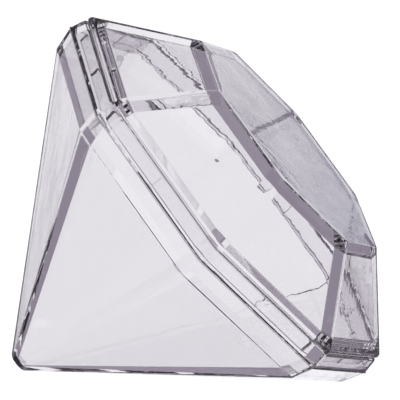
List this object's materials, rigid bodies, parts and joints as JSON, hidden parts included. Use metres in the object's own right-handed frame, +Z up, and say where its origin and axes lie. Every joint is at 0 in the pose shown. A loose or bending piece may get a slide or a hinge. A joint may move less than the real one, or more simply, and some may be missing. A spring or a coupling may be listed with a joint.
{
  "type": "gem-shaped box",
  "caption": "Clear hollow box in the shape of a cut gem, lying on a facet: a crown lid with an inner lip pulls off a pointed base that holds small gifts.",
  "frame": {"origin": "on the ground, below the middle of the box's outline seen from above, with one pavilion facet lying flat on the ground", "axes": "+Z up; the box's own axis lies in the XZ plane, from the point at low X up to the table at high X; +Y across two opposite sides"},
  "size_m": [0.0478, 0.0554, 0.0459],
  "materials": {
    "clear_plastic": "clear, smooth and glossy, with a faint grey-violet tint"
  },
  "bodies": {
    "base": {"pavilion_base": "clear_plastic"},
    "lid": {"crown_lid": "clear_plastic"}
  },
  "joints": [
    {"name": "lid_pull", "type": "slide", "parent": "base", "child": "lid", "axis": [0.7802, 0, 0.6256], "range_m": [0, 0.03]}
  ]
}
